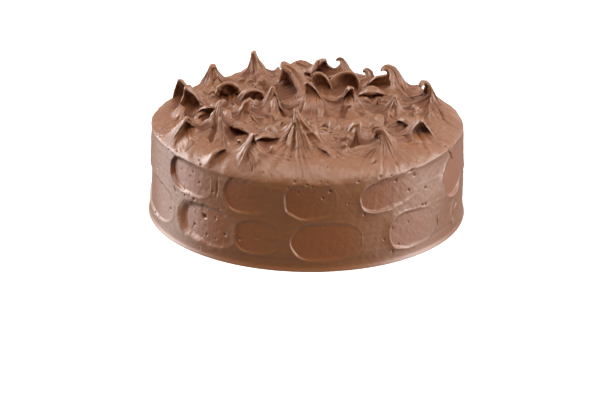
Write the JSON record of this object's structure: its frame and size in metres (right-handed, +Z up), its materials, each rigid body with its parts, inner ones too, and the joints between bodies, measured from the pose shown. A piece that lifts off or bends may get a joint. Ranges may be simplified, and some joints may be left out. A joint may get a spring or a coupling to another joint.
{
  "type": "chocolate cake",
  "caption": "Whole round chocolate cake, frosted with pulled-up buttercream peaks on top and flat knife presses round the wall.",
  "frame": {"origin": "centre of the flat underside, on the surface that the cake stands on", "axes": "+Z up through the middle of the cake, -Y towards the side that faces the viewer, +X to the viewer's right"},
  "size_m": [0.2062, 0.2062, 0.0862],
  "materials": {
    "chocolate_frosting": "satin milk-chocolate buttercream, smoothed on the wall and pulled into peaks on top"
  },
  "bodies": {
    "root": {"frosted_cake": "chocolate_frosting"}
  },
  "joints": []
}
